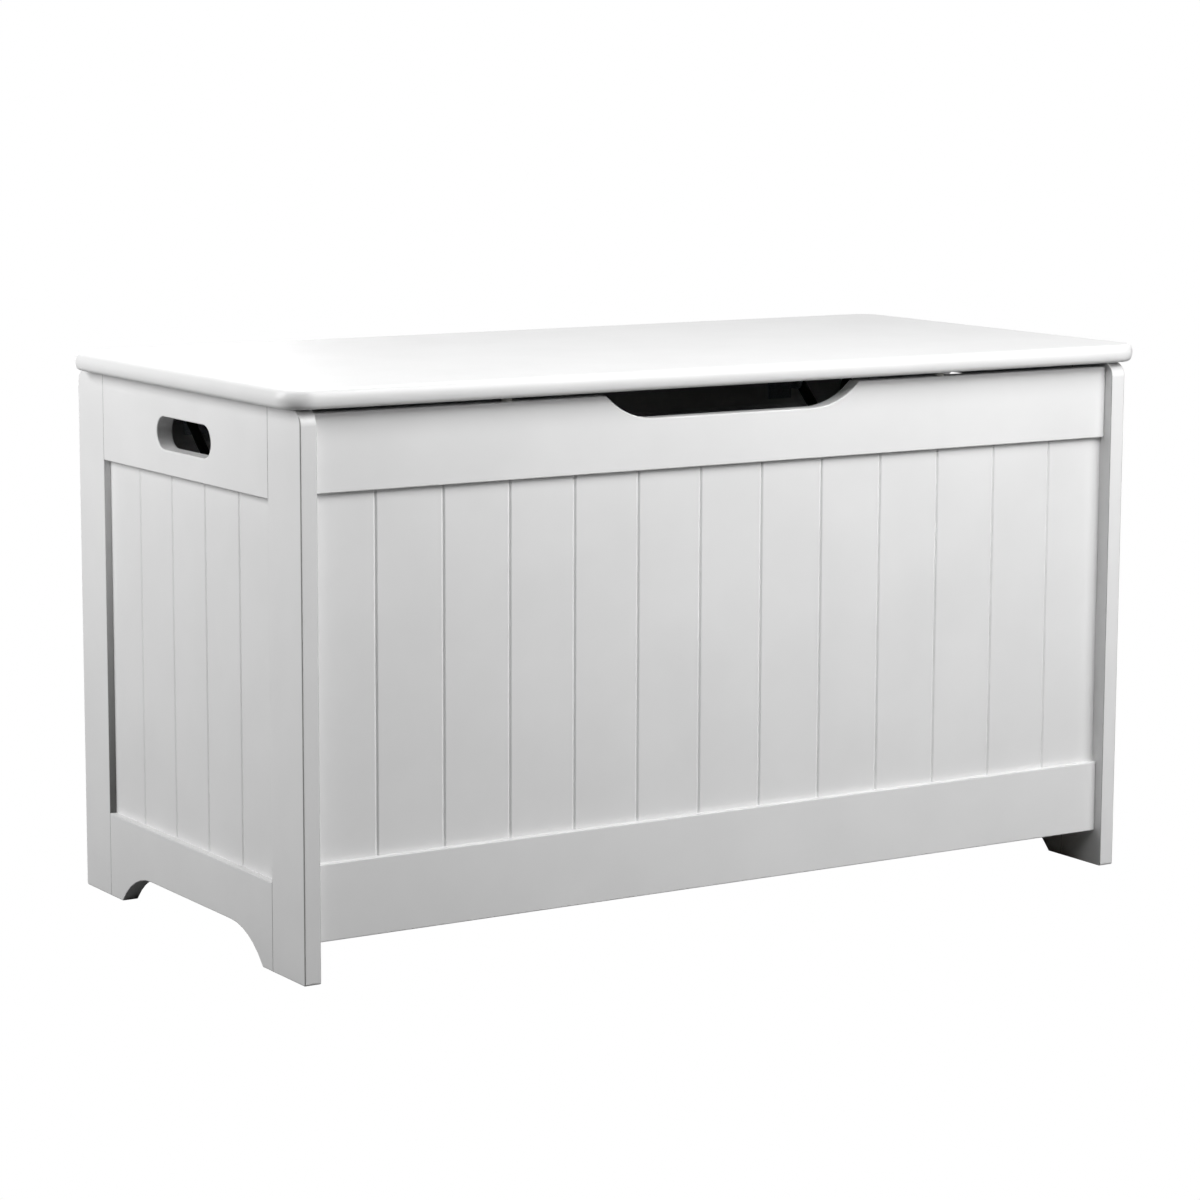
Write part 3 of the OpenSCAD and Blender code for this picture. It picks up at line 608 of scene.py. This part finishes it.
def make_slotted_rail(side, s):
    """The side's top rail, with a round-ended slot through it.

    Outer and inner outline are both met by the same rays from the slot's middle, so their points pair up:
    the rectangle at the nearest of its four sides, the slot at its flat or at the circle of its end.
    """
    node = side + "_top_rail"
    low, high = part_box(node)
    mid = np.array([sum(stile_span(side)) / 2, high.z - SLOT_BELOW_TOP])
    end_r = SLOT_H / 2
    half = SLOT_LEN / 2 - end_r
    rect = np.array([[low.y, low.z], [high.y, low.z], [high.y, high.z], [low.y, high.z]]) - mid
    corner_rays = np.arctan2(rect[:, 1], rect[:, 0])
    turn = np.linspace(-np.pi / 2, np.pi / 2, SLOT_END_STEPS + 1)
    end_rays = np.arctan2(end_r * np.sin(turn), half + end_r * np.cos(turn))
    flat_rays = np.arctan2(end_r, np.linspace(-half, half, 7)[1:-1])
    slot_rays = np.concatenate([end_rays, np.pi - end_rays, flat_rays, -flat_rays]) % (2 * np.pi)
    gap = np.abs((slot_rays[:, None] - corner_rays + np.pi) % (2 * np.pi) - np.pi).min(1)
    near_corners = (corner_rays[:, None] + np.array([-FADE_TURN, 0, FADE_TURN])).ravel()
    rays = np.sort(np.concatenate([near_corners % (2 * np.pi), slot_rays[gap > 2 * FADE_TURN]]))
    c, sn = np.cos(rays), np.sin(rays)
    with np.errstate(divide="ignore"):
        to_u = np.abs(np.where(c > 0, rect[1, 0], rect[0, 0]) / c)
        to_v = np.abs(np.where(sn > 0, rect[2, 1], rect[0, 1]) / sn)
        flat = end_r / np.abs(sn)
    outer = np.minimum(to_u, to_v)[:, None] * np.stack([c, sn], 1) + mid
    on_end = flat * np.abs(c) > half
    to_end = half * np.abs(c) + np.sqrt(np.maximum(end_r ** 2 - (half * sn) ** 2, 0))
    inner = np.where(on_end, to_end, flat)[:, None] * np.stack([c, sn], 1) + mid
    middle = (outer + np.roll(outer, -1, 0)) / 2
    at_joint = np.minimum(np.abs(middle[:, 0] - low.y), np.abs(middle[:, 0] - high.y)) < 0.1 * MM
    outer_edges = np.where(at_joint, JOINT_R, EASED_R)
    inner_edges = np.full(len(rays), -OUTER_EDGE_R)
    x_out, x_in = (high.x, low.x) if s > 0 else (-low.x, -high.x)
    around, rim_shade_outside = edge_rings(outer, outer_edges, -x_out, -x_in, np.minimum(outer_edges, INSIDE_R))
    through, rim_shade_in_slot = edge_rings(inner, inner_edges, -x_out, -x_in)
    rail = mesh_from_rings(node + "_slotted", around + through[::-1], rim_shade_outside + rim_shade_in_slot[::-1],
                           facing_side(-s), True, FINISHES["frame_paint"])
    stand_in(rail, node)


def make_side_beadboard(side, s):
    node = side + "_beadboard"
    low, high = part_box(node)
    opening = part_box(side + "_top_rail")
    middle = (opening[0].y + opening[1].y) / 2 + SIDE_BEAD_SHIFT
    beads = middle + bead_places(SIDE_BEADS)
    face, back = (high.x, low.x) if s > 0 else (-low.x, -high.x)
    grooved_sheet(node, low.y, high.y, -face, -back, low.z, high.z, beads,
                  lambda u, v, depth: np.stack([-s * v, u, depth], -1))


make_lid()
make_long_rails()
make_finger_rail()
make_front_beadboard()
make_plain_panels()
make_cam_locks()
for side_name, side_sign in SIDES:
    make_stiles(side_name, side_sign)
    make_slotted_rail(side_name, side_sign)
    make_bottom_rail(side_name, side_sign)
    make_side_beadboard(side_name, side_sign)


# ---- Studio ----

CAMERA_AT = Vector((-1.7648, -2.7777, 0.7716))
CAMERA_YAW = 32.266
CAMERA_PITCH = -8.898
CAMERA_ROLL = 0.199
CAMERA_LENS = 109.68
LIGHT_TARGET = Vector((0, 0, 0.28))
FLOOR_REACH = 30
# What the floor gives back to the box, and what the room adds
FLOOR_TONE = 0.13
WORLD_GLOW = 0.0


def make_camera():
    """Yaw turns the view from +Y towards +X, pitch lifts it, and roll turns the picture."""
    yaw, pitch, roll = (math.radians(a) for a in (CAMERA_YAW, CAMERA_PITCH, CAMERA_ROLL))
    ahead = Vector((math.sin(yaw) * math.cos(pitch), math.cos(yaw) * math.cos(pitch), math.sin(pitch)))
    right = Vector((math.cos(yaw), -math.sin(yaw), 0))
    up = right.cross(ahead)
    right, up = (right * math.cos(roll) + up * math.sin(roll), up * math.cos(roll) - right * math.sin(roll))
    data = bpy.data.cameras.new("camera")
    data.lens = CAMERA_LENS
    data.sensor_width = 36
    camera = bpy.data.objects.new("camera", data)
    camera.matrix_world = Matrix.Translation(CAMERA_AT) @ Matrix((right, up, -ahead)).transposed().to_4x4()
    bpy.context.scene.collection.objects.link(camera)
    bpy.context.scene.camera = camera


def softbox(name, place, size, watts):
    """A square soft light that looks at the middle of the box."""
    data = bpy.data.lights.new(name, "AREA")
    data.size = size
    data.energy = watts
    light = bpy.data.objects.new(name, data)
    light.location = place
    light.rotation_euler = (LIGHT_TARGET - Vector(place)).to_track_quat("-Z", "Y").to_euler()
    light.visible_camera = False
    bpy.context.scene.collection.objects.link(light)


def make_floor():
    material = bpy.data.materials.new("pale_studio_floor")
    material.use_nodes = True
    tree = material.node_tree
    tree.nodes.clear()
    path = add_node(tree, "ShaderNodeLightPath")
    seen = add_node(tree, "ShaderNodeEmission", {"Color": (1, 1, 1, 1), "Strength": 1.0})
    lit = add_node(tree, "ShaderNodeBsdfDiffuse", {"Color": (FLOOR_TONE, FLOOR_TONE, FLOOR_TONE, 1)})
    both = add_node(tree, "ShaderNodeMixShader",
                    links={0: path.outputs["Is Camera Ray"], 1: lit.outputs[0], 2: seen.outputs[0]})
    add_node(tree, "ShaderNodeOutputMaterial", links={"Surface": both.outputs[0]})
    mesh = bpy.data.meshes.new("floor")
    corners = [(x * FLOOR_REACH, y * FLOOR_REACH, 0) for x, y in ((-1, -1), (1, -1), (1, 1), (-1, 1))]
    mesh.from_pydata(corners, [], [(0, 1, 2, 3)])
    mesh.materials.append(material)
    floor = bpy.data.objects.new("floor", mesh)
    bpy.context.scene.collection.objects.link(floor)


def make_world():
    world = bpy.data.worlds.new("studio")
    bpy.context.scene.world = world
    world.use_nodes = True
    tree = world.node_tree
    tree.nodes.clear()
    path = add_node(tree, "ShaderNodeLightPath")
    seen = add_node(tree, "ShaderNodeBackground", {"Color": (1, 1, 1, 1), "Strength": 1.0})
    glow = add_node(tree, "ShaderNodeBackground", {"Color": (1, 1, 1, 1), "Strength": WORLD_GLOW})
    both = add_node(tree, "ShaderNodeMixShader",
                    links={0: path.outputs["Is Camera Ray"], 1: glow.outputs[0], 2: seen.outputs[0]})
    add_node(tree, "ShaderNodeOutputWorld", links={"Surface": both.outputs[0]})


make_camera()
make_floor()
make_world()
softbox("front_key", (0.2, -1.2, 1.5), 0.9, 20.6)
softbox("right_fill", (0.9, -1.5, 1.1), 0.9, 15.7)
softbox("left_key", (-1.5, 0.3, 1.0), 0.9, 19.7)
softbox("high_back", (0.92, 1.59, 2.87), 1.4, 54)
softbox("back_fill", (0.4, 3.0, 0.75), 1.4, 24)
bpy.context.scene.view_settings.view_transform = "Standard"
